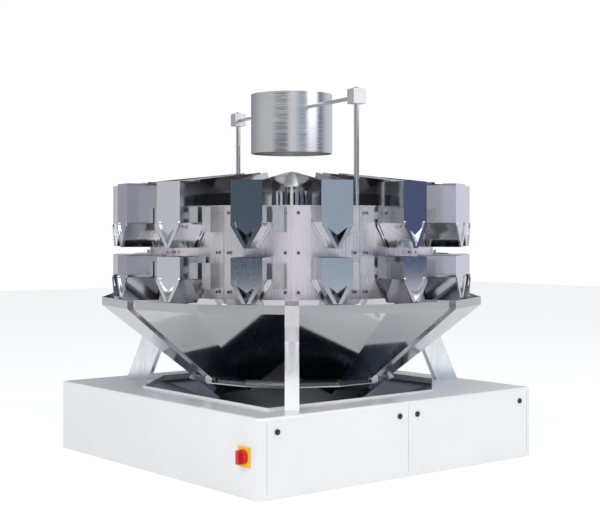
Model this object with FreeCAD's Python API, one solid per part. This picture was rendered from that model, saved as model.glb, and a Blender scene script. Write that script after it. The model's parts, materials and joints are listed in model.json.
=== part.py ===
"""Fourteen-head multihead weigher on a low square cabinet.

Millimetres, +Z up. The origin lies on the floor, on the weigher's vertical axis.
Heads are counted round the axis from the door side (-Y) towards the switch side (-X).
Every repeated piece is drawn once, pointing along +X, and is turned to its head or seam.
In that drawing +X is outwards from the axis and +Y is to the right of someone facing the piece.
"""

import FreeCAD, Part
import math
import os

# --- heads and chutes ------------------------------------------------------------------
HEADS = 14
HEADS_PER_CHUTE = 2
PITCH_DEG = 360.0 / HEADS
MOVING_HEADS = (2, 3)

# --- base cabinet ----------------------------------------------------------------------
BASE_SIDE = 1240.0
BASE_HEIGHT = 250.0
BASE_CORNER_RADIUS = 25.0
BASE_SHEET = 3.0
PLINTH_HEIGHT = 20.0
PLINTH_WIDTH = 40.0
POST_REACH = 28.0
PANEL_GAP = 1.5
DECK_SKIRT = 14.0
DECK_EDGE_RADIUS = 10.0
OPENING_HALF = 480.0
OPENING_CHAMFER = 230.0
LIP_HEIGHT = 6.0
LIP_SHEET = 4.0

# --- well pan and discharge funnel -----------------------------------------------------
WELL_DEPTH = 60.0
WELL_FOOT_HALF = 300.0
WELL_SHEET = 3.0
FUNNEL_TOP_INRADIUS = 350.0
FUNNEL_TOP_Z = 285.0
FUNNEL_FLANGE_WIDTH = 22.0
FUNNEL_FLANGE = 4.0
FUNNEL_SHEET = 3.0
SPOUT_RADIUS = 75.0
SPOUT_LENGTH = 60.0
SPOUT_SHEET = 3.0
SPOUT_FOOT_Z = 0.0

# --- collecting chutes -----------------------------------------------------------------
RIM_OVERHANG = 43.0
RIM_TOP_Z = 580.0
RIM_FOOT_Z = 552.0
CHUTE_SHEET = 3.0
CHUTE_GAP = 46.0
CHUTE_FLANGE = 24.0

# --- legs ------------------------------------------------------------------------------
LEG_WIDTH = 46.0
LEG_DEPTH = 84.0
LEG_TOP_Z = 455.0
LEG_TOP_OUTER = 560.0
LEG_FOOT_PLATE = 6.0
LEG_FOOT_MARGIN = 8.0

# --- drum ------------------------------------------------------------------------------
DRUM_RADIUS = 520.0
DRUM_FOOT_Z = 588.0
DRUM_TOP_Z = 896.0
DRUM_PANEL = 4.0
DRUM_SEAM = 4.0
DRUM_LID = 4.0
DRUM_LID_OVERHANG = 5.0

# --- hoppers ---------------------------------------------------------------------------
HOPPER_STANDOFF = 7.0
HOPPER_DEPTH = 125.0
HOPPER_WIDTH = 105.0
HOPPER_SHEET = 2.0
HOPPER_NOSE_DROP = 41.0
HOPPER_BACK_CUT = 52.0
POOL_TOP_Z = 979.0
POOL_SHOULDER_Z = 843.0
WEIGH_TOP_Z = 730.0
WEIGH_SHOULDER_Z = 657.0
MOUNT_BAR_HEIGHT = 24.0

# --- hopper gates ----------------------------------------------------------------------
GATE_DROP = 84.0
GATE_SHEET = 2.0
GATE_PIVOT_Y = 44.0
GATE_CLEARANCE = 0.8
GATE_MEETING_GAP = 1.0
ARM_SHEET = 4.0
ARM_WIDTH = 15.0
ARM_GAP = 0.3
PIN_RADIUS = 4.0
PIN_CLEARANCE = 0.05

# --- feeders ---------------------------------------------------------------------------
PAN_OVERLAP = 45.0
PAN_TO_CONE = 5.0
PAN_OUTER_HALF = 42.0
PAN_INNER_HALF = 40.0
PAN_FLOOR_HALF = 24.0
PAN_FLOOR_OUTER_Z = 934.0
PAN_FLOOR_INNER_Z = 958.0
PAN_EDGE_OUTER_Z = 984.0
PAN_EDGE_INNER_Z = 1022.0
PAN_SHEET = 3.0
CONE_RADIUS = 220.0
CONE_EDGE_Z = 975.0
CONE_RISE = 60.0
CONE_SHEET = 4.0
CONE_STEM_RADIUS = 80.0

# --- infeed ring -----------------------------------------------------------------------
RING_RADIUS = 150.0
RING_SHEET = 3.0
RING_FOOT_Z = 1100.0
RING_HEIGHT = 218.0
ROD_RADIUS = 9.0
ROD_INSET = 22.0
ROD_SEAM = 1
ROD_TOP_Z = 1296.0
CLAMP_HEIGHT = 50.0
CLAMP_WIDTH = 46.0
CLAMP_TOP_Z = 1290.0
ARM_Z = 1262.0
ARM_RADIUS = 6.5

# --- actuators -------------------------------------------------------------------------
ACTUATOR_WIDTH = 38.0
ACTUATOR_HEIGHT = 84.0
ACTUATOR_DEPTH = 36.0
ACTUATOR_OFFSET = 81.0

# --- main switch -----------------------------------------------------------------------
SWITCH_Y = -545.0
SWITCH_Z = 128.0
SWITCH_PLATE_SIDE = 62.0
SWITCH_PLATE = 4.0
KNOB_RADIUS = 23.0
KNOB_DEPTH = 26.0

# --- worked out from the sizes above -----------------------------------------------------
HOPPER_BACK_RADIUS = DRUM_RADIUS + HOPPER_STANDOFF
HOPPER_FACE_RADIUS = HOPPER_BACK_RADIUS + HOPPER_DEPTH
RIM_RADIUS = HOPPER_FACE_RADIUS + RIM_OVERHANG
PAN_OUTER_RADIUS = HOPPER_BACK_RADIUS + PAN_OVERLAP
PAN_INNER_RADIUS = CONE_RADIUS + PAN_TO_CONE
ROD_CIRCLE = DRUM_RADIUS - ROD_INSET
FAR = 4.0 * RIM_RADIUS
Z_AXIS = FreeCAD.Vector(0, 0, 1)
ORIGIN = FreeCAD.Vector(0, 0, 0)


def vec(x, y, z=0.0):
    return FreeCAD.Vector(x, y, z)


def head_deg(head):
    """Angle from +X of the direction in which a head (1 to HEADS) points."""
    return -90.0 - (head - 1) * PITCH_DEG


def seam_deg(seam):
    """Angle of the seam that follows a head; seam 0 lies before head 1."""
    return head_deg(seam + 0.5)


def turned(shape, degrees):
    copy = shape.copy()
    copy.rotate(ORIGIN, Z_AXIS, degrees)
    return copy


def box(x0, x1, y0, y1, z0, z1):
    return Part.makeBox(x1 - x0, y1 - y0, z1 - z0, vec(x0, y0, z0))


def prism(points, direction):
    """Extrude the closed polygon through points along direction."""
    outline = Part.makePolygon(points + [points[0]])
    return Part.Face(outline).extrude(direction)


def rounded_square(side, radius, z0, z1):
    half = side / 2.0
    block = box(-half, half, -half, half, z0, z1)
    upright = [e for e in block.Edges if abs(e.Vertexes[0].Z - e.Vertexes[1].Z) > 1.0]
    return block.makeFillet(radius, upright)


def octagon_prism(half, chamfer, z0, z1):
    """Square prism with cut corners, apart from the sharp corner at -X -Y."""
    points = [
        vec(-half, -half, z0),
        vec(half - chamfer, -half, z0),
        vec(half, -half + chamfer, z0),
        vec(half, half - chamfer, z0),
        vec(half - chamfer, half, z0),
        vec(-half + chamfer, half, z0),
        vec(-half, half - chamfer, z0),
    ]
    return prism(points, vec(0, 0, z1 - z0))


def ring_polygon(inradius, z, sides=HEADS):
    """Regular polygon with its corners on the seams."""
    corner = inradius / math.cos(math.pi / sides)
    points = []
    for seam in range(sides):
        angle = math.radians(seam_deg(seam))
        points.append(vec(corner * math.cos(angle), corner * math.sin(angle), z))
    return Part.makePolygon(points + [points[0]])


def ring_frustum(levels):
    """Solid through regular polygons given as (inradius, z) from low to high."""
    pieces = []
    for (low_r, low_z), (high_r, high_z) in zip(levels, levels[1:]):
        wires = [ring_polygon(low_r, low_z), ring_polygon(high_r, high_z)]
        pieces.append(Part.makeLoft(wires, True, True))
    solid = pieces[0]
    for piece in pieces[1:]:
        solid = solid.fuse(piece)
    return solid.removeSplitter()


# --- base cabinet ------------------------------------------------------------------------


def base_frame():
    """Plinth ring, four corner posts and the ring that carries the deck."""
    top_z = BASE_HEIGHT - DECK_SKIRT
    plinth = rounded_square(BASE_SIDE, BASE_CORNER_RADIUS, 0.0, PLINTH_HEIGHT)
    inner = BASE_SIDE / 2.0 - PLINTH_WIDTH
    plinth = plinth.cut(box(-inner, inner, -inner, inner, -1.0, PLINTH_HEIGHT + 1.0))
    tube = rounded_square(BASE_SIDE, BASE_CORNER_RADIUS, 0.0, top_z)
    bore = rounded_square(
        BASE_SIDE - 2 * BASE_SHEET, BASE_CORNER_RADIUS - BASE_SHEET, -1.0, top_z + 1.0
    )
    tube = tube.cut(bore)
    half = BASE_SIDE / 2.0
    frame = plinth
    for sx in (-1, 1):
        for sy in (-1, 1):
            xs = sorted((sx * half, sx * (half - POST_REACH)))
            ys = sorted((sy * half, sy * (half - POST_REACH)))
            frame = frame.fuse(tube.common(box(xs[0], xs[1], ys[0], ys[1], 0.0, top_z)))
    rail_outer = half - BASE_SHEET
    rail = box(-rail_outer, rail_outer, -rail_outer, rail_outer, top_z - PLINTH_HEIGHT, top_z)
    cut_half = rail_outer - PLINTH_WIDTH / 2.0
    rail = rail.cut(box(-cut_half, cut_half, -cut_half, cut_half, 0.0, top_z + 1.0))
    shell = rounded_square(BASE_SIDE, BASE_CORNER_RADIUS, 0.0, top_z)
    return frame.fuse(rail.common(shell)).removeSplitter()


def side_panel(start, end):
    """Flat sheet on the -Y face between two X values, standing on the plinth."""
    half = BASE_SIDE / 2.0
    top_z = BASE_HEIGHT - DECK_SKIRT
    return box(start, end, -half, -half + BASE_SHEET, PLINTH_HEIGHT, top_z)


def full_panel():
    reach = BASE_SIDE / 2.0 - POST_REACH
    return side_panel(-reach, reach)


def door(side):
    reach = BASE_SIDE / 2.0 - POST_REACH - PANEL_GAP
    edges = sorted((side * PANEL_GAP / 2.0, side * reach))
    return side_panel(edges[0], edges[1])


def deck():
    """Cabinet top: a sheet with a rounded edge, a downturned skirt and a low lip."""
    foot_z = BASE_HEIGHT - DECK_SKIRT
    outer = rounded_square(BASE_SIDE, BASE_CORNER_RADIUS, foot_z, BASE_HEIGHT)
    rim = [
        e
        for e in outer.Edges
        if all(abs(v.Z - BASE_HEIGHT) < 0.01 for v in e.Vertexes)
    ]
    outer = outer.makeFillet(DECK_EDGE_RADIUS, rim)
    inner = rounded_square(
        BASE_SIDE - 2 * DECK_EDGE_RADIUS,
        BASE_CORNER_RADIUS - DECK_EDGE_RADIUS,
        foot_z - 1.0,
        BASE_HEIGHT - BASE_SHEET,
    )
    sheet = outer.cut(inner)
    lip = octagon_prism(
        OPENING_HALF + LIP_SHEET, OPENING_CHAMFER, foot_z, BASE_HEIGHT + LIP_HEIGHT
    )
    sheet = sheet.fuse(lip)
    hole = octagon_prism(OPENING_HALF, OPENING_CHAMFER, 0.0, BASE_HEIGHT + 2 * LIP_HEIGHT)
    return sheet.cut(hole).removeSplitter()


def well_pan():
    """Shallow sloping pan under the deck opening."""
    top_z = BASE_HEIGHT - DECK_SKIRT
    foot_z = top_z - WELL_DEPTH
    outer = square_frustum(OPENING_HALF + LIP_SHEET, top_z, WELL_FOOT_HALF, foot_z)
    inner = square_frustum(
        OPENING_HALF + LIP_SHEET - WELL_SHEET,
        top_z + 0.01,
        WELL_FOOT_HALF - WELL_SHEET,
        foot_z - 0.01,
    )
    return outer.cut(inner)


def square_frustum(top_half, top_z, foot_half, foot_z):
    wires = []
    for half, z in ((foot_half, foot_z), (top_half, top_z)):
        chamfer = OPENING_CHAMFER * half / OPENING_HALF
        points = [
            vec(-half, -half, z),
            vec(half - chamfer, -half, z),
            vec(half, -half + chamfer, z),
            vec(half, half - chamfer, z),
            vec(half - chamfer, half, z),
            vec(-half + chamfer, half, z),
            vec(-half, half - chamfer, z),
        ]
        wires.append(Part.makePolygon(points + [points[0]]))
    return Part.makeLoft(wires, True, True)


def discharge_funnel():
    """Lower funnel with its top flange and round spout."""
    flange_z = FUNNEL_TOP_Z - FUNNEL_FLANGE
    spout_top = SPOUT_FOOT_Z + SPOUT_LENGTH
    outer = ring_frustum(
        [
            (SPOUT_RADIUS + SPOUT_SHEET, spout_top),
            (FUNNEL_TOP_INRADIUS + FUNNEL_SHEET, flange_z),
            (FUNNEL_TOP_INRADIUS + FUNNEL_SHEET, FUNNEL_TOP_Z),
        ]
    )
    flange = ring_frustum(
        [
            (FUNNEL_TOP_INRADIUS + FUNNEL_FLANGE_WIDTH, flange_z),
            (FUNNEL_TOP_INRADIUS + FUNNEL_FLANGE_WIDTH, FUNNEL_TOP_Z),
        ]
    )
    spout = Part.makeCylinder(
        SPOUT_RADIUS + SPOUT_SHEET, SPOUT_LENGTH, vec(0, 0, SPOUT_FOOT_Z)
    )
    inner = ring_frustum(
        [
            (SPOUT_RADIUS, spout_top),
            (FUNNEL_TOP_INRADIUS, flange_z),
            (FUNNEL_TOP_INRADIUS, FUNNEL_TOP_Z + 1.0),
        ]
    )
    bore = Part.makeCylinder(SPOUT_RADIUS, SPOUT_LENGTH + 2.0, vec(0, 0, SPOUT_FOOT_Z - 1.0))
    return outer.fuse([flange, spout]).cut(inner).cut(bore).removeSplitter()


# --- collecting chutes and legs ----------------------------------------------------------


def chute_shell(inset):
    """Funnel body inside the chute sheets, set inwards by inset."""
    rim_inradius = RIM_RADIUS * math.cos(math.pi / HEADS)
    return ring_frustum(
        [
            (FUNNEL_TOP_INRADIUS + CHUTE_SHEET - inset, FUNNEL_TOP_Z),
            (rim_inradius - inset, RIM_FOOT_Z),
            (rim_inradius - inset, RIM_TOP_Z),
        ]
    )


def chute_sector(trim):
    """Wedge between two chute gaps, centred on +X, its sides set in by trim."""
    half_angle = math.radians(PITCH_DEG * HEADS_PER_CHUTE / 2.0)
    apex = trim / math.sin(half_angle)
    reach = FAR * math.cos(half_angle)
    spread = FAR * math.sin(half_angle)
    points = [vec(apex, 0, 0), vec(apex + reach, -spread, 0), vec(apex + reach, spread, 0)]
    return prism(points, vec(0, 0, BASE_HEIGHT + RIM_TOP_Z))


def chute(number, body, hollow, flange_hollow):
    """Two bent sheets with a turned-up flange along each gap."""
    angle = seam_deg(1 + HEADS_PER_CHUTE * number)
    wedge = turned(chute_sector(CHUTE_GAP / 2.0), angle)
    core = turned(chute_sector(CHUTE_GAP / 2.0 + CHUTE_SHEET), angle)
    sheet = body.cut(hollow).common(wedge)
    flange = body.cut(flange_hollow).common(wedge).cut(core)
    return sheet.fuse(flange).removeSplitter()


def leg_foot_inner(seam):
    """Distance from the axis at which a leg's foot clears the deck opening."""
    angle = math.radians(seam_deg(seam))
    across = max(abs(math.cos(angle)), abs(math.sin(angle)))
    side = OPENING_HALF + LIP_SHEET
    reach = side / across
    x = math.cos(angle)
    y = math.sin(angle)
    cut_corner = not (x < 0 and y < 0)
    if cut_corner:
        diagonal = (2.0 * side - OPENING_CHAMFER) / (abs(x) + abs(y))
        reach = min(reach, diagonal)
    half_width_reach = LEG_WIDTH / 2.0 * min(abs(x), abs(y)) / across
    return reach + half_width_reach + LEG_FOOT_MARGIN


def leg(seam):
    """Leaning box leg on a foot plate."""
    inner = leg_foot_inner(seam)
    foot_z = BASE_HEIGHT + LEG_FOOT_PLATE
    outline = [
        vec(inner, -LEG_WIDTH / 2.0, foot_z),
        vec(inner + LEG_DEPTH, -LEG_WIDTH / 2.0, foot_z),
        vec(LEG_TOP_OUTER, -LEG_WIDTH / 2.0, LEG_TOP_Z),
        vec(LEG_TOP_OUTER - LEG_DEPTH, -LEG_WIDTH / 2.0, LEG_TOP_Z),
    ]
    body = prism(outline, vec(0, LEG_WIDTH, 0))
    plate = box(
        inner, inner + LEG_DEPTH, -LEG_WIDTH / 2.0, LEG_WIDTH / 2.0, BASE_HEIGHT, foot_z
    )
    return turned(body.fuse(plate).removeSplitter(), seam_deg(seam))


def leg_bracket(seam):
    """Upright on the leg's top that carries the drum, and its arm to the rim."""
    post = box(
        LEG_TOP_OUTER - LEG_DEPTH,
        LEG_TOP_OUTER,
        -LEG_WIDTH / 2.0,
        LEG_WIDTH / 2.0,
        LEG_TOP_Z,
        DRUM_FOOT_Z,
    )
    rim_inner = RIM_RADIUS - CHUTE_SHEET
    arm_top = RIM_FOOT_Z - 10.0
    arm = box(LEG_TOP_OUTER - 1.0, rim_inner, -LEG_WIDTH / 4.0, LEG_WIDTH / 4.0,
              arm_top - 30.0, arm_top)
    plate = box(rim_inner, RIM_RADIUS, -LEG_WIDTH / 2.0, LEG_WIDTH / 2.0,
                arm_top - 30.0, RIM_TOP_Z)
    return turned(post.fuse([arm, plate]).removeSplitter(), seam_deg(seam))


def chute_clamp(seam):
    """Toggle clamp across the foot of a chute gap, on the funnel's flange."""
    inradius = FUNNEL_TOP_INRADIUS + CHUTE_SHEET
    corner = inradius / math.cos(math.pi / HEADS)
    body = box(corner - 6.0, corner + 12.0, -CHUTE_GAP / 2.0 + 4.0, CHUTE_GAP / 2.0 - 4.0,
               FUNNEL_TOP_Z, FUNNEL_TOP_Z + 22.0)
    lever = box(corner + 4.0, corner + 10.0, -CHUTE_GAP / 2.0 + 1.0, CHUTE_GAP / 2.0 - 1.0,
                FUNNEL_TOP_Z + 8.0, FUNNEL_TOP_Z + 15.0)
    return turned(body.fuse(lever).removeSplitter(), seam_deg(seam))


# --- drum ----------------------------------------------------------------------------------


def drum_core():
    return Part.makeCylinder(
        DRUM_RADIUS - DRUM_PANEL, DRUM_TOP_Z - DRUM_FOOT_Z, vec(0, 0, DRUM_FOOT_Z)
    )


def drum_panel():
    """One curved cover sheet, centred on +X."""
    height = DRUM_TOP_Z - DRUM_FOOT_Z
    outer = Part.makeCylinder(DRUM_RADIUS, height, vec(0, 0, DRUM_FOOT_Z))
    ring = outer.cut(drum_core())
    half_angle = math.radians(PITCH_DEG / 2.0)
    apex = DRUM_SEAM / 2.0 / math.sin(half_angle)
    reach = FAR * math.cos(half_angle)
    spread = FAR * math.sin(half_angle)
    points = [vec(apex, 0, 0), vec(apex + reach, -spread, 0), vec(apex + reach, spread, 0)]
    return ring.common(prism(points, vec(0, 0, 2 * DRUM_TOP_Z)))


def drum_lid():
    return Part.makeCylinder(
        DRUM_RADIUS + DRUM_LID_OVERHANG, DRUM_LID, vec(0, 0, DRUM_TOP_Z)
    )


# --- hoppers -------------------------------------------------------------------------------


def hopper(top_z, shoulder_z, back_cut, pins):
    """Open-ended box whose front and back sheets end in a blunt V below the shoulder."""
    half = HOPPER_WIDTH / 2.0
    outline = [
        vec(HOPPER_BACK_RADIUS, -half, top_z),
        vec(HOPPER_BACK_RADIUS, -half, shoulder_z),
        vec(HOPPER_BACK_RADIUS, 0, shoulder_z - HOPPER_NOSE_DROP),
        vec(HOPPER_BACK_RADIUS, half, shoulder_z),
        vec(HOPPER_BACK_RADIUS, half, top_z),
    ]
    body = prism(outline, vec(HOPPER_DEPTH, 0, 0))
    inside = box(
        HOPPER_BACK_RADIUS + HOPPER_SHEET,
        HOPPER_FACE_RADIUS - HOPPER_SHEET,
        -half + HOPPER_SHEET,
        half - HOPPER_SHEET,
        shoulder_z - HOPPER_NOSE_DROP - 1.0,
        top_z + 1.0,
    )
    body = body.cut(inside)
    if back_cut > 0:
        body = body.cut(
            box(
                HOPPER_BACK_RADIUS - 1.0,
                HOPPER_BACK_RADIUS + HOPPER_SHEET + 1.0,
                -half + HOPPER_SHEET,
                half - HOPPER_SHEET,
                top_z - back_cut,
                top_z + 1.0,
            )
        )
    if pins:
        for side in (-1, 1):
            for face, outwards in ((HOPPER_FACE_RADIUS, 1), (HOPPER_BACK_RADIUS, -1)):
                pin = Part.makeCylinder(
                    PIN_RADIUS,
                    ARM_SHEET + 1.0,
                    vec(face, side * GATE_PIVOT_Y, shoulder_z - PIN_RADIUS),
                    vec(outwards, 0, 0),
                )
                body = body.fuse(pin)
    return body


def gate(side, shoulder_z, bored):
    """One flap with a pair of arms; side is -1 for left and 1 for right."""
    pivot_y = side * GATE_PIVOT_Y
    pivot_z = shoulder_z - PIN_RADIUS
    tip_y = side * GATE_MEETING_GAP / 2.0
    tip_z = shoulder_z - GATE_DROP
    edge_y = side * (HOPPER_WIDTH / 2.0 - HOPPER_SHEET - GATE_CLEARANCE)
    x0 = HOPPER_BACK_RADIUS + HOPPER_SHEET + GATE_CLEARANCE
    x1 = HOPPER_FACE_RADIUS - HOPPER_SHEET - GATE_CLEARANCE
    flap = prism(
        [
            vec(x0, edge_y, shoulder_z),
            vec(x0, edge_y - side * GATE_SHEET, shoulder_z),
            vec(x0, tip_y, tip_z + GATE_SHEET),
            vec(x0, tip_y, tip_z),
            vec(x0, tip_y + side * GATE_SHEET, tip_z),
        ],
        vec(x1 - x0, 0, 0),
    )
    pieces = []
    for face, outwards in ((HOPPER_FACE_RADIUS, 1), (HOPPER_BACK_RADIUS, -1)):
        pieces.append(gate_arm(side, pivot_y, pivot_z, tip_z, face, outwards, bored))
    web_z = shoulder_z - HOPPER_NOSE_DROP - 3.0
    share = (web_z - tip_z) / GATE_DROP
    web_y = edge_y * share
    web_x = HOPPER_BACK_RADIUS - ARM_SHEET - ARM_GAP
    web = prism(
        [
            vec(web_x, web_y, web_z),
            vec(web_x, web_y - side * 3.0, web_z),
            vec(web_x, tip_y, tip_z + 3.0),
            vec(web_x, tip_y, tip_z),
        ],
        vec(HOPPER_DEPTH + 2 * (ARM_SHEET + ARM_GAP), 0, 0),
    )
    return flap.fuse(pieces + [web]).removeSplitter()


def gate_arm(side, pivot_y, pivot_z, tip_z, face, outwards, bored):
    """Bent flat arm from the pivot eye to the flap's tip."""
    x0 = face + outwards * ARM_GAP
    if outwards < 0:
        x0 = x0 - ARM_SHEET
    half = ARM_WIDTH / 2.0
    tip_y = side * GATE_MEETING_GAP / 2.0
    outline = [
        vec(x0, pivot_y + side * half, pivot_z),
        vec(x0, pivot_y + side * half, pivot_z - half),
        vec(x0, tip_y + side * half, tip_z),
        vec(x0, tip_y, tip_z),
        vec(x0, tip_y, tip_z + half),
        vec(x0, pivot_y - side * half, pivot_z - half / 2.0),
        vec(x0, pivot_y - side * half, pivot_z),
    ]
    arm = prism(outline, vec(ARM_SHEET, 0, 0))
    eye = Part.makeCylinder(half, ARM_SHEET, vec(x0, pivot_y, pivot_z), vec(1, 0, 0))
    arm = arm.fuse(eye).removeSplitter()
    if bored:
        bore = Part.makeCylinder(
            PIN_RADIUS + PIN_CLEARANCE,
            ARM_SHEET + 2.0,
            vec(x0 - 1.0, pivot_y, pivot_z),
            vec(1, 0, 0),
        )
        arm = arm.cut(bore)
    return arm


def hopper_mount(shoulder_z):
    """Bar between the drum and a hopper's back sheet."""
    bar = box(
        DRUM_RADIUS - 10.0,
        HOPPER_BACK_RADIUS,
        -HOPPER_WIDTH / 2.0,
        HOPPER_WIDTH / 2.0,
        shoulder_z + 12.0,
        shoulder_z + 12.0 + MOUNT_BAR_HEIGHT,
    )
    drum = Part.makeCylinder(DRUM_RADIUS, DRUM_TOP_Z, vec(0, 0, 0))
    return bar.cut(drum)


def actuator(shoulder_z):
    """Cast drive housing on the drum, to the right of a hopper."""
    centre_z = shoulder_z + 10.0
    block = box(
        DRUM_RADIUS - 20.0,
        DRUM_RADIUS + ACTUATOR_DEPTH,
        ACTUATOR_OFFSET - ACTUATOR_WIDTH / 2.0,
        ACTUATOR_OFFSET + ACTUATOR_WIDTH / 2.0,
        centre_z - ACTUATOR_HEIGHT / 2.0,
        centre_z + ACTUATOR_HEIGHT / 2.0,
    )
    drum = Part.makeCylinder(DRUM_RADIUS, DRUM_TOP_Z, vec(0, 0, 0))
    return block.cut(drum)


# --- feeders -------------------------------------------------------------------------------


def pan_section(x, half, floor_z, edge_z, inset):
    wall = edge_z + (1.0 if inset > 0 else 0.0)
    lift = inset
    return Part.makePolygon(
        [
            vec(x, -half + inset, wall),
            vec(x, -PAN_FLOOR_HALF + inset / 2.0, floor_z + lift),
            vec(x, PAN_FLOOR_HALF - inset / 2.0, floor_z + lift),
            vec(x, half - inset, wall),
            vec(x, -half + inset, wall),
        ]
    )


def feeder_pan():
    """Open trough from the cone to a hopper, its side walls flaring upwards."""
    sections = []
    for inset, stretch in ((0.0, 0.0), (PAN_SHEET, 1.0)):
        inner = pan_section(
            PAN_INNER_RADIUS - stretch, PAN_INNER_HALF, PAN_FLOOR_INNER_Z, PAN_EDGE_INNER_Z, inset
        )
        outer = pan_section(
            PAN_OUTER_RADIUS + stretch, PAN_OUTER_HALF, PAN_FLOOR_OUTER_Z, PAN_EDGE_OUTER_Z, inset
        )
        sections.append(Part.makeLoft([inner, outer], True, True))
    return sections[0].cut(sections[1])


def vibrator():
    """Drive block between the drum lid and a feeder pan."""
    x0 = PAN_INNER_RADIUS + 120.0
    x1 = DRUM_RADIUS - 40.0
    share0 = (x0 - PAN_INNER_RADIUS) / (PAN_OUTER_RADIUS - PAN_INNER_RADIUS)
    share1 = (x1 - PAN_INNER_RADIUS) / (PAN_OUTER_RADIUS - PAN_INNER_RADIUS)
    slope = PAN_FLOOR_OUTER_Z - PAN_FLOOR_INNER_Z
    foot = DRUM_TOP_Z + DRUM_LID
    outline = [
        vec(x0, -PAN_FLOOR_HALF, foot),
        vec(x1, -PAN_FLOOR_HALF, foot),
        vec(x1, -PAN_FLOOR_HALF, PAN_FLOOR_INNER_Z + slope * share1),
        vec(x0, -PAN_FLOOR_HALF, PAN_FLOOR_INNER_Z + slope * share0),
    ]
    return prism(outline, vec(0, 2 * PAN_FLOOR_HALF, 0))


def top_cone():
    """Dispersion cone on its drive stem."""
    cone = Part.makeCone(CONE_RADIUS, 0.0, CONE_RISE, vec(0, 0, CONE_EDGE_Z))
    plate = Part.makeCylinder(CONE_RADIUS, CONE_SHEET, vec(0, 0, CONE_EDGE_Z - CONE_SHEET))
    foot = DRUM_TOP_Z + DRUM_LID
    stem = Part.makeCylinder(CONE_STEM_RADIUS, CONE_EDGE_Z - CONE_SHEET - foot, vec(0, 0, foot))
    return cone.fuse([plate, stem]).removeSplitter()


# --- infeed ring ---------------------------------------------------------------------------


def infeed_ring():
    """Open tube."""
    outer = Part.makeCylinder(RING_RADIUS, RING_HEIGHT, vec(0, 0, RING_FOOT_Z))
    inner = Part.makeCylinder(RING_RADIUS - RING_SHEET, RING_HEIGHT + 2.0,
                              vec(0, 0, RING_FOOT_Z - 1.0))
    return outer.cut(inner)


def infeed_arm():
    """Round bar from the ring's wall to a rod clamp."""
    reach = ROD_CIRCLE - CLAMP_WIDTH / 2.0
    arm = Part.makeCylinder(ARM_RADIUS, reach, vec(0, 0, ARM_Z), vec(1, 0, 0))
    return arm.cut(Part.makeCylinder(RING_RADIUS, RING_HEIGHT, vec(0, 0, RING_FOOT_Z)))


def rod():
    foot = DRUM_TOP_Z + DRUM_LID
    return Part.makeCylinder(ROD_RADIUS, ROD_TOP_Z - foot, vec(ROD_CIRCLE, 0, foot))


def rod_clamp():
    half = CLAMP_WIDTH / 2.0
    block = box(
        ROD_CIRCLE - half,
        ROD_CIRCLE + half,
        -half,
        half,
        CLAMP_TOP_Z - CLAMP_HEIGHT,
        CLAMP_TOP_Z,
    )
    bore = Part.makeCylinder(
        ROD_RADIUS + PIN_CLEARANCE,
        CLAMP_HEIGHT + 2.0,
        vec(ROD_CIRCLE, 0, CLAMP_TOP_Z - CLAMP_HEIGHT - 1.0),
    )
    return block.cut(bore)


# --- main switch ---------------------------------------------------------------------------


def switch_plate():
    half = SWITCH_PLATE_SIDE / 2.0
    face = -BASE_SIDE / 2.0
    return box(face - SWITCH_PLATE, face, SWITCH_Y - half, SWITCH_Y + half,
               SWITCH_Z - half, SWITCH_Z + half)


def switch_knob():
    face = -BASE_SIDE / 2.0 - SWITCH_PLATE - PIN_CLEARANCE
    body = Part.makeCylinder(KNOB_RADIUS, KNOB_DEPTH / 2.0, vec(face, SWITCH_Y, SWITCH_Z),
                             vec(-1, 0, 0))
    grip = box(face - KNOB_DEPTH, face, SWITCH_Y - 6.0, SWITCH_Y + 6.0,
               SWITCH_Z - KNOB_RADIUS + 2.0, SWITCH_Z + KNOB_RADIUS - 2.0)
    return body.fuse(grip).removeSplitter()


def door_locks():
    """Quarter-turn lock heads near the top corners of both doors."""
    locks = []
    face = -BASE_SIDE / 2.0
    reach = BASE_SIDE / 2.0 - POST_REACH
    for side in (-1, 1):
        for inset in (40.0, reach - 40.0):
            locks.append(
                Part.makeCylinder(9.0, 4.0, vec(side * inset, face, 205.0), vec(0, -1, 0))
            )
    return Part.makeCompound(locks)


# --- assembly ------------------------------------------------------------------------------

LEG_SEAMS = {"front": 2, "left": 6, "rear_left": 8, "rear_right": 10, "right": 12}


def around_heads(shape, heads):
    return Part.makeCompound([turned(shape, head_deg(head)) for head in heads])


def both_rods(shape):
    near = seam_deg(ROD_SEAM)
    return Part.makeCompound([turned(shape, near), turned(shape, near + 180.0)])


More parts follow.
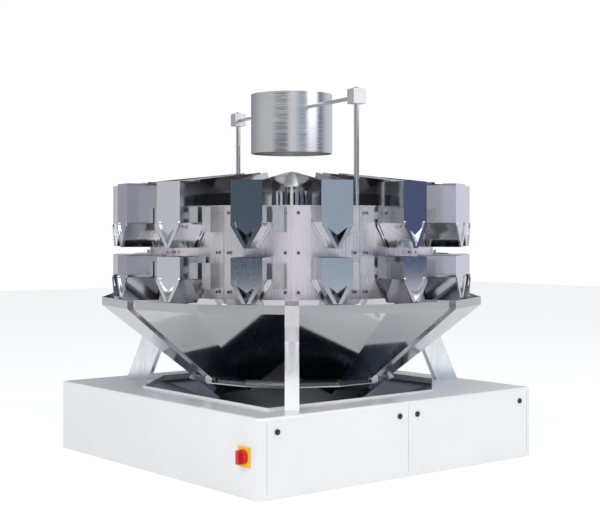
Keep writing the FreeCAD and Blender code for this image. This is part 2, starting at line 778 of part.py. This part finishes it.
def all_parts():
    heads = range(1, HEADS + 1)
    still = [head for head in heads if head not in MOVING_HEADS]
    parts = {
        "base_frame": base_frame(),
        "door_left": door(-1),
        "door_right": door(1),
        "switch_side_wall": turned(full_panel(), -90.0),
        "rear_wall": turned(full_panel(), 180.0),
        "side_wall": turned(full_panel(), 90.0),
        "deck": deck(),
        "well_pan": well_pan(),
        "discharge_funnel": discharge_funnel(),
        "door_locks": door_locks(),
        "switch_plate": switch_plate(),
        "switch_knob": switch_knob(),
        "drum_core": drum_core(),
        "drum_panels": around_heads(drum_panel(), heads),
        "drum_lid": drum_lid(),
        "feeder_pans": around_heads(feeder_pan(), heads),
        "vibrators": around_heads(vibrator(), heads),
        "top_cone": top_cone(),
        "infeed_ring": infeed_ring(),
        "infeed_arms": both_rods(infeed_arm()),
        "rods": both_rods(rod()),
        "rod_clamps": both_rods(rod_clamp()),
    }
    body = chute_shell(0.0)
    hollow = chute_shell(CHUTE_SHEET)
    flange_hollow = chute_shell(CHUTE_FLANGE)
    for number in range(1, HEADS // HEADS_PER_CHUTE + 1):
        parts[f"chute_{number}"] = chute(number, body, hollow, flange_hollow)
    for name, seam in LEG_SEAMS.items():
        parts[f"leg_{name}"] = leg(seam)
    parts["leg_brackets"] = Part.makeCompound([leg_bracket(s) for s in LEG_SEAMS.values()])
    parts["chute_clamps"] = Part.makeCompound(
        [chute_clamp(seam) for seam in range(0, HEADS, HEADS_PER_CHUTE)]
    )
    rows = {
        "pool": (POOL_TOP_Z, POOL_SHOULDER_Z, HOPPER_BACK_CUT),
        "weigh": (WEIGH_TOP_Z, WEIGH_SHOULDER_Z, 0.0),
    }
    mounts = []
    drives = []
    for row, (top_z, shoulder_z, back_cut) in rows.items():
        plain = [turned(hopper(top_z, shoulder_z, back_cut, False), head_deg(h)) for h in still]
        pinned = [
            turned(hopper(top_z, shoulder_z, back_cut, True), head_deg(h)) for h in MOVING_HEADS
        ]
        parts[f"{row}_hoppers"] = Part.makeCompound(plain + pinned)
        flaps = []
        for side in (-1, 1):
            fixed = gate(side, shoulder_z, False)
            flaps.extend(turned(fixed, head_deg(h)) for h in still)
        parts[f"{row}_gates"] = Part.makeCompound(flaps)
        for head in MOVING_HEADS:
            for side, hand in ((-1, "left"), (1, "right")):
                name = f"{row}_gate_{head}_{hand}"
                parts[name] = turned(gate(side, shoulder_z, True), head_deg(head))
        mounts.extend(turned(hopper_mount(shoulder_z), head_deg(h)) for h in heads)
        drives.extend(turned(actuator(shoulder_z), head_deg(h)) for h in heads)
    parts["hopper_mounts"] = Part.makeCompound(mounts)
    parts["actuators"] = Part.makeCompound(drives)
    return parts


def main():
    os.makedirs("parts", exist_ok=True)
    for node, shape in all_parts().items():
        shape.exportStep(f"parts/{node}.step")


main()
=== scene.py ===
"""Looks of the fourteen-head weigher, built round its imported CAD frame.

Metres, +Z up, the CAD's own frame: the origin is on the floor, on the weigher's axis. Heads are
counted from the door side (-Y) towards the switch side (-X), as in the CAD.
"""

import json
import math

import bpy
from mathutils import Matrix, Vector

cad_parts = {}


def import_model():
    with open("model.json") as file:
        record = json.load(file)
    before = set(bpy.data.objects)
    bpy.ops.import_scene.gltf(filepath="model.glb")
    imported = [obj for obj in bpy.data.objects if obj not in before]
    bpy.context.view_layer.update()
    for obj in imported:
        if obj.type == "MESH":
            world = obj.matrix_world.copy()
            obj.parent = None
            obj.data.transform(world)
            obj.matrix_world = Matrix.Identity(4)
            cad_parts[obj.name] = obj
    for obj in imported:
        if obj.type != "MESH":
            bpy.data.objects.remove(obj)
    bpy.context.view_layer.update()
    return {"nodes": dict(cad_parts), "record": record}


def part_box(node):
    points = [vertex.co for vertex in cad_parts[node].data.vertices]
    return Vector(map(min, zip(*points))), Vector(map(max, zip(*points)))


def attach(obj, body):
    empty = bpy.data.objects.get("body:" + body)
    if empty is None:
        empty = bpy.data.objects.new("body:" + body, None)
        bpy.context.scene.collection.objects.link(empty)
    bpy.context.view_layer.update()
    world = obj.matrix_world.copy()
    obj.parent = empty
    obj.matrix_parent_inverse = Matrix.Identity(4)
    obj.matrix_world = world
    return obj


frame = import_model()

# --- sizes read from the frame -----------------------------------------------------------
HEADS = 14
PITCH = 2.0 * math.pi / HEADS
FIRST_HEAD = -math.pi / 2.0
BASE_LOW, BASE_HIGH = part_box("base_frame")
DECK_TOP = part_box("deck")[1].z
DRUM_LOW, DRUM_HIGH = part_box("drum_panels")
DRUM_RADIUS = DRUM_HIGH.y
HOPPER_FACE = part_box("pool_hoppers")[1].y
LOCKS_LOW, LOCKS_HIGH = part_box("door_locks")
DOOR_FACE = BASE_LOW.y
SIDE_FACE = BASE_LOW.x


def head_angle(head):
    return FIRST_HEAD - (head - 1) * PITCH


def seam_angle(seam):
    return head_angle(seam + 0.5)


def radial(angle, out, across, z):
    """Place in a head's own axes: outwards, to the right of someone facing it, and up."""
    x = out * math.cos(angle) - across * math.sin(angle)
    y = out * math.sin(angle) + across * math.cos(angle)
    return Vector((x, y, z))


def facing(angle, out, across, z):
    """Matrix whose +Z points outwards from the weigher's axis at that place."""
    place = Matrix.Translation(radial(angle, out, across, z))
    return place @ Matrix.Rotation(angle, 4, "Z") @ Matrix.Rotation(math.pi / 2.0, 4, "Y")


# --- materials ------------------------------------------------------------------------------


class Shader:
    """A node material with one Principled shader."""

    def __init__(self, name, **values):
        self.material = bpy.data.materials.new(name)
        self.material.use_nodes = True
        self.tree = self.material.node_tree
        self.shader = self.tree.nodes["Principled BSDF"]
        for socket, value in values.items():
            self.shader.inputs[socket.replace("_", " ")].default_value = value

    def node(self, kind, **settings):
        node = self.tree.nodes.new(kind)
        for key, value in settings.items():
            setattr(node, key, value)
        return node

    def link(self, output, target):
        self.tree.links.new(output, target)

    def math(self, operation, first, second=0.0):
        node = self.node("ShaderNodeMath", operation=operation)
        for index, value in enumerate((first, second)):
            if isinstance(value, (int, float)):
                node.inputs[index].default_value = value
            else:
                self.link(value, node.inputs[index])
        return node.outputs[0]

    def place(self, stretch=(1.0, 1.0, 1.0)):
        coordinates = self.node("ShaderNodeTexCoord")
        mapping = self.node("ShaderNodeMapping")
        mapping.inputs["Scale"].default_value = stretch
        self.link(coordinates.outputs["Object"], mapping.inputs["Vector"])
        return mapping.outputs[0]

    def noise(self, scale, detail=3.0, stretch=(1.0, 1.0, 1.0)):
        noise = self.node("ShaderNodeTexNoise")
        noise.inputs["Scale"].default_value = scale
        noise.inputs["Detail"].default_value = detail
        self.link(self.place(stretch), noise.inputs["Vector"])
        return noise.outputs["Fac"]

    def spread(self, value, low, high):
        """Map a 0 to 1 value to low to high."""
        node = self.node("ShaderNodeMapRange")
        node.inputs["From Min"].default_value = 0.3
        node.inputs["From Max"].default_value = 0.7
        node.inputs["To Min"].default_value = low
        node.inputs["To Max"].default_value = high
        self.link(value, node.inputs["Value"])
        return node.outputs["Result"]

    def mix(self, factor, first, second):
        node = self.node("ShaderNodeMix", data_type="RGBA")
        self.link(factor, node.inputs["Factor"])
        for slot, value in ((6, first), (7, second)):
            if isinstance(value, tuple):
                node.inputs[slot].default_value = value
            else:
                self.link(value, node.inputs[slot])
        return node.outputs[2]

    def bump(self, height, strength, distance=0.001):
        bump = self.node("ShaderNodeBump")
        bump.inputs["Strength"].default_value = strength
        bump.inputs["Distance"].default_value = distance
        self.link(height, bump.inputs["Height"])
        self.link(bump.outputs["Normal"], self.shader.inputs["Normal"])

    def drive(self, socket, value):
        self.link(value, self.shader.inputs[socket])


def grey(level, tint=(0.0, 0.0, 0.0)):
    return (level + tint[0], level + tint[1], level + tint[2], 1.0)


def powder_coat(name, colour):
    coat = Shader(name, Roughness=0.22, Coat_Weight=0.35, Coat_Roughness=0.06)
    peel = coat.noise(900.0, 2.0)
    shade = coat.noise(3.0, 2.0)
    darker = tuple(0.965 * value for value in colour[:3]) + (1.0,)
    coat.drive("Base Color", coat.mix(coat.spread(shade, 0.0, 1.0), colour, darker))
    coat.bump(peel, 0.05, 0.0004)
    return coat.material


def sheet_steel(name, colour, roughness, grain=(1.0, 1.0, 1.0), wave=0.02):
    """Rolled stainless sheet: a fine grain, a little variation and a slow wave."""
    steel = Shader(name, Metallic=1.0)
    fine = steel.noise(240.0, 4.0, grain)
    slow = steel.noise(5.0, 2.0)
    lighter = tuple(min(1.0, 1.06 * value) for value in colour[:3]) + (1.0,)
    steel.drive("Base Color", steel.mix(steel.spread(slow, 0.0, 1.0), colour, lighter))
    steel.drive("Roughness", steel.spread(fine, roughness * 0.75, roughness * 1.3))
    height = steel.math("ADD", steel.math("MULTIPLY", slow, 6.0), steel.math("MULTIPLY", fine, 0.05))
    steel.bump(height, wave)
    return steel.material


def cast_metal(name, colour, roughness=0.38):
    cast = Shader(name, Metallic=0.85)
    grains = cast.noise(1500.0, 3.0)
    cast.drive("Base Color", cast.mix(cast.spread(cast.noise(30.0), 0.0, 1.0), colour, grey(colour[0] * 0.86)))
    cast.drive("Roughness", cast.spread(grains, roughness * 0.85, roughness * 1.2))
    cast.bump(grains, 0.15, 0.0003)
    return cast.material


def moulded(name, colour, roughness):
    plastic = Shader(name, Base_Color=colour)
    grain = plastic.noise(1800.0, 2.0)
    plastic.drive("Roughness", plastic.spread(grain, roughness * 0.9, roughness * 1.15))
    plastic.bump(grain, 0.08, 0.0003)
    return plastic.material


WHITE = powder_coat("powder_white", grey(0.80, (0.0, 0.0, 0.015)))
CHUTE_STEEL = sheet_steel("chute_mirror", grey(0.58, (0.0, 0.0, 0.01)), 0.09)
HOPPER_STEEL = sheet_steel("hopper_mirror", grey(0.70, (-0.01, 0.0, 0.02)), 0.10)
SATIN_STEEL = sheet_steel("satin_sheet", grey(0.72, (0.02, -0.01, 0.01)), 0.30, (1.0, 1.0, 0.03))
# Painted shade: this near-black blue-grey is the shadow on sheet that sits in shade, painted into its colour,
# not the steel's own tone.
SHADE_PAINTED_STEEL = sheet_steel("painted_shade_sheet", (0.10, 0.125, 0.16, 1.0), 0.28)
TUBE_STEEL = sheet_steel("tube_brushed", grey(0.62), 0.26, (0.03, 0.03, 1.0))
LEG_STEEL = sheet_steel("leg_sheet", (0.86, 0.89, 0.90, 1.0), 0.22, (1.0, 1.0, 0.03))
BAR_STEEL = sheet_steel("bright_bar", grey(0.60), 0.15, (1.0, 1.0, 0.02))
CAST_STEEL = cast_metal("bead_blasted", grey(0.66))
BLACK = moulded("black_moulding", grey(0.012), 0.35)
DRIVE_BLACK = moulded("drive_housing", (0.012, 0.013, 0.018, 1.0), 0.30)
RED = moulded("red_moulding", (0.62, 0.018, 0.02, 1.0), 0.28)
YELLOW = moulded("yellow_moulding", (0.86, 0.55, 0.01, 1.0), 0.30)
SCREW_STEEL = cast_metal("screw_steel", grey(0.20), 0.25)

FINISH = {
    "white_paint": WHITE,
    "leg_paint": LEG_STEEL,
    "dark_steel": SHADE_PAINTED_STEEL,
    "polished_steel": CHUTE_STEEL,
    "chute_steel": CHUTE_STEEL,
    "hopper_steel": HOPPER_STEEL,
    "satin_steel": SATIN_STEEL,
    "brushed_steel": TUBE_STEEL,
    "bright_bar": BAR_STEEL,
    "cast_steel": CAST_STEEL,
    "black_plastic": BLACK,
    "black_rubber": DRIVE_BLACK,
    "yellow_plastic": YELLOW,
    "red_plastic": RED,
}
for subpart in frame["record"]["subparts"]:
    node = frame["nodes"][subpart["node"]]
    node.data.materials.clear()
    node.data.materials.append(FINISH[subpart["material_slot"]])


# --- mesh helpers ---------------------------------------------------------------------------


def lathe(profile, sides=16):
    """Turn (radius, height) pairs round +Z; the first and last lie on the axis."""
    verts = [(0.0, 0.0, profile[0][1])]
    faces = []
    rings = profile[1:-1]
    for radius, height in rings:
        for step in range(sides):
            angle = 2.0 * math.pi * step / sides
            verts.append((radius * math.cos(angle), radius * math.sin(angle), height))
    verts.append((0.0, 0.0, profile[-1][1]))
    last = len(verts) - 1
    for step in range(sides):
        after = (step + 1) % sides
        faces.append((0, 1 + after, 1 + step))
        for ring in range(len(rings) - 1):
            low = 1 + ring * sides
            high = low + sides
            faces.append((low + step, low + after, high + after, high + step))
        top = 1 + (len(rings) - 1) * sides
        faces.append((top + step, top + after, last))
    return verts, faces


def piece(name, parts, material, body):
    """One object from (verts, faces, matrix) parts, riding on a CAD body."""
    verts = []
    faces = []
    for part_verts, part_faces, matrix in parts:
        start = len(verts)
        verts += [matrix @ Vector(v) for v in part_verts]
        faces += [tuple(start + index for index in face) for face in part_faces]
    mesh = bpy.data.meshes.new(name)
    mesh.from_pydata([tuple(v) for v in verts], [], faces)
    mesh.materials.append(material)
    mesh.shade_smooth()
    mesh.set_sharp_from_angle(angle=math.radians(35.0))
    thing = bpy.data.objects.new(name, mesh)
    bpy.context.scene.collection.objects.link(thing)
    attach(thing, body)
    return thing


def button_screw(radius, height):
    """Button head with a round socket."""
    socket = radius * 0.45
    return lathe(
        [
            (0.0, height * 0.35),
            (socket * 0.9, height * 0.35),
            (socket, height),
            (radius * 0.72, height * 0.92),
            (radius, height * 0.35),
            (radius, 0.0),
            (0.0, 0.0),
        ][::-1]
    )


# --- fasteners ------------------------------------------------------------------------------
SCREW_RADIUS = 0.0055
SCREW_HEIGHT = 0.003
SEAM_TO_SCREW = 0.022
SCREW_ROWS = (0.025, 0.155, 0.287)


def drum_screws():
    verts, faces = button_screw(SCREW_RADIUS, SCREW_HEIGHT)
    parts = []
    apothem = DRUM_RADIUS
    for seam in range(1, HEADS + 1):
        for side in (-1, 1):
            angle = seam_angle(seam) + side * PITCH / 2.0
            across = -side * (apothem * math.tan(PITCH / 2.0) - SEAM_TO_SCREW)
            for row in SCREW_ROWS:
                place = facing(angle, apothem, across, DRUM_LOW.z + row)
                parts.append((verts, faces, place))
    return piece("drum_screws", parts, SCREW_STEEL, "machine")


drum_screws()

# --- studio ---------------------------------------------------------------------------------
FLOOR_HALF = 12.0


def floor():
    mesh = bpy.data.meshes.new("floor")
    corners = [(-FLOOR_HALF, -FLOOR_HALF), (FLOOR_HALF, -FLOOR_HALF), (FLOOR_HALF, FLOOR_HALF)]
    corners.append((-FLOOR_HALF, FLOOR_HALF))
    mesh.from_pydata([(x, y, 0.0) for x, y in corners], [], [(0, 1, 2, 3)])
    thing = bpy.data.objects.new("floor", mesh)
    bpy.context.scene.collection.objects.link(thing)
    ground = Shader("floor_white", Base_Color=grey(0.92), Roughness=0.9)
    ground.shader.inputs["Specular IOR Level"].default_value = 0.0
    path = ground.node("ShaderNodeLightPath")
    glow = ground.math("MULTIPLY", path.outputs["Is Camera Ray"], 0.22)
    ground.shader.inputs["Emission Color"].default_value = grey(1.0)
    ground.drive("Emission Strength", glow)
    mesh.materials.append(ground.material)


# Studio surroundings that the mirror-polished sheets show: azimuth in degrees from +X, and colour.
SURROUNDINGS = (
    (-180.0, (0.40, 0.41, 0.42)),
    (-166.0, (0.10, 0.13, 0.17)),
    (-143.0, (0.05, 0.08, 0.12)),
    (-134.0, (0.86, 0.86, 0.90)),
    (-122.0, (0.86, 0.86, 0.90)),
    (-108.0, (0.45, 0.53, 0.62)),
    (-90.0, (0.24, 0.30, 0.40)),
    (-70.0, (0.09, 0.12, 0.22)),
    (-38.0, (0.07, 0.10, 0.20)),
    (-18.0, (0.75, 0.75, 0.86)),
    (20.0, (0.80, 0.80, 0.90)),
    (60.0, (0.20, 0.20, 0.24)),
    (103.0, (0.42, 0.40, 0.48)),
    (140.0, (0.64, 0.66, 0.67)),
    (165.0, (0.62, 0.64, 0.65)),
)


def world():
    scene_world = bpy.data.worlds.new("studio")
    bpy.context.scene.world = scene_world
    scene_world.use_nodes = True
    tree = scene_world.node_tree
    background = tree.nodes["Background"]
    coordinates = tree.nodes.new("ShaderNodeTexCoord")
    split = tree.nodes.new("ShaderNodeSeparateXYZ")
    tree.links.new(coordinates.outputs["Generated"], split.inputs[0])
    turn = tree.nodes.new("ShaderNodeMath")
    turn.operation = "ARCTAN2"
    tree.links.new(split.outputs["Y"], turn.inputs[0])
    tree.links.new(split.outputs["X"], turn.inputs[1])
    share = tree.nodes.new("ShaderNodeMapRange")
    share.inputs["From Min"].default_value = -math.pi
    share.inputs["From Max"].default_value = math.pi
    tree.links.new(turn.outputs[0], share.inputs["Value"])
    bands = tree.nodes.new("ShaderNodeValToRGB")
    ramp = bands.color_ramp
    for index, (azimuth, colour) in enumerate(SURROUNDINGS):
        place = (azimuth + 180.0) / 360.0
        stop = ramp.elements[index] if index < 2 else ramp.elements.new(place)
        stop.position = place
        stop.color = colour + (1.0,)
    tree.links.new(share.outputs["Result"], bands.inputs[0])
    height = tree.nodes.new("ShaderNodeMapRange")
    height.inputs["From Min"].default_value = 0.35
    height.inputs["From Max"].default_value = 0.75
    tree.links.new(split.outputs["Z"], height.inputs["Value"])
    above = tree.nodes.new("ShaderNodeMix")
    above.data_type = "RGBA"
    above.inputs[7].default_value = (0.95, 0.95, 0.98, 1.0)
    tree.links.new(height.outputs["Result"], above.inputs["Factor"])
    tree.links.new(bands.outputs["Color"], above.inputs[6])
    path = tree.nodes.new("ShaderNodeLightPath")
    soft = tree.nodes.new("ShaderNodeMix")
    soft.data_type = "RGBA"
    soft.inputs[6].default_value = (0.72, 0.73, 0.75, 1.0)
    tree.links.new(path.outputs["Is Glossy Ray"], soft.inputs["Factor"])
    tree.links.new(above.outputs[2], soft.inputs[7])
    seen = tree.nodes.new("ShaderNodeMix")
    seen.data_type = "RGBA"
    seen.inputs[7].default_value = (1.0, 1.0, 1.0, 1.0)
    tree.links.new(path.outputs["Is Camera Ray"], seen.inputs["Factor"])
    tree.links.new(soft.outputs[2], seen.inputs[6])
    tree.links.new(seen.outputs[2], background.inputs["Color"])
    background.inputs["Strength"].default_value = 1.0


def lamp(name, place, target, size, power):
    data = bpy.data.lights.new(name, "AREA")
    data.shape = "RECTANGLE"
    data.size = size[0]
    data.size_y = size[1]
    data.energy = power
    thing = bpy.data.objects.new(name, data)
    thing.location = place
    thing.rotation_euler = (Vector(target) - Vector(place)).to_track_quat("-Z", "Y").to_euler()
    bpy.context.scene.collection.objects.link(thing)
    return thing


# The camera looks level at the front corner, from the door and switch sides.
VIEW_ANGLE = math.radians(39.05)
VIEW_DISTANCE = 4.59
EYE_HEIGHT = 0.815
VIEW_SIDE = 0.031
LENS = 74.4
SENSOR = 36.0
VIEW_SHIFT = -0.0417


def camera():
    ahead = Vector((math.sin(VIEW_ANGLE), math.cos(VIEW_ANGLE), 0.0))
    right = Vector((math.cos(VIEW_ANGLE), -math.sin(VIEW_ANGLE), 0.0))
    data = bpy.data.cameras.new("camera")
    data.lens = LENS
    data.sensor_width = SENSOR
    data.shift_y = VIEW_SHIFT
    thing = bpy.data.objects.new("camera", data)
    thing.location = right * VIEW_SIDE - ahead * VIEW_DISTANCE + Vector((0.0, 0.0, EYE_HEIGHT))
    thing.rotation_euler = ahead.to_track_quat("-Z", "Y").to_euler()
    bpy.context.scene.collection.objects.link(thing)
    bpy.context.scene.camera = thing


floor()
world()
lamp("key", (-3.2, -1.2, 3.4), (0.0, 0.0, 0.6), (2.4, 2.4), 70.0)
lamp("fill", (1.4, -3.6, 2.6), (0.0, 0.0, 0.5), (2.4, 2.4), 50.0)
camera()
bpy.context.scene.view_settings.view_transform = "Standard"
